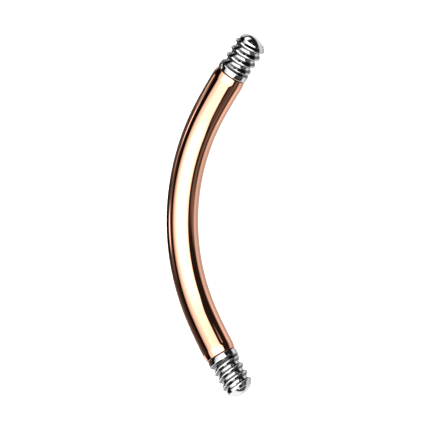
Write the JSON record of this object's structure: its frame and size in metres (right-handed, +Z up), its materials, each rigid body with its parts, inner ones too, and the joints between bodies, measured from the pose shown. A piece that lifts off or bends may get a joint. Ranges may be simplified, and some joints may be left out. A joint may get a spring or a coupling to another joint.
{
  "type": "curved barbell",
  "caption": "Bent round body-jewellery bar with a mirror-polished rose-gold finish and bare steel threaded, dome-tipped ends for screw-on balls.",
  "frame": {"origin": "middle of the foot of the box that the bar fills when it lies on its side", "axes": "+Z up from the surface that it lies on, +Y along the chord from one tip to the other, and +X from the crown of the bend towards the tips"},
  "size_m": [0.0052, 0.0172, 0.0016],
  "materials": {
    "rose_gold_coating": "mirror-polished rose-gold coating on steel",
    "bare_steel": "bare polished surgical steel"
  },
  "bodies": {
    "root": {"curved_bar": "rose_gold_coating", "upper_threaded_end": "bare_steel", "lower_threaded_end": "bare_steel"}
  },
  "joints": []
}
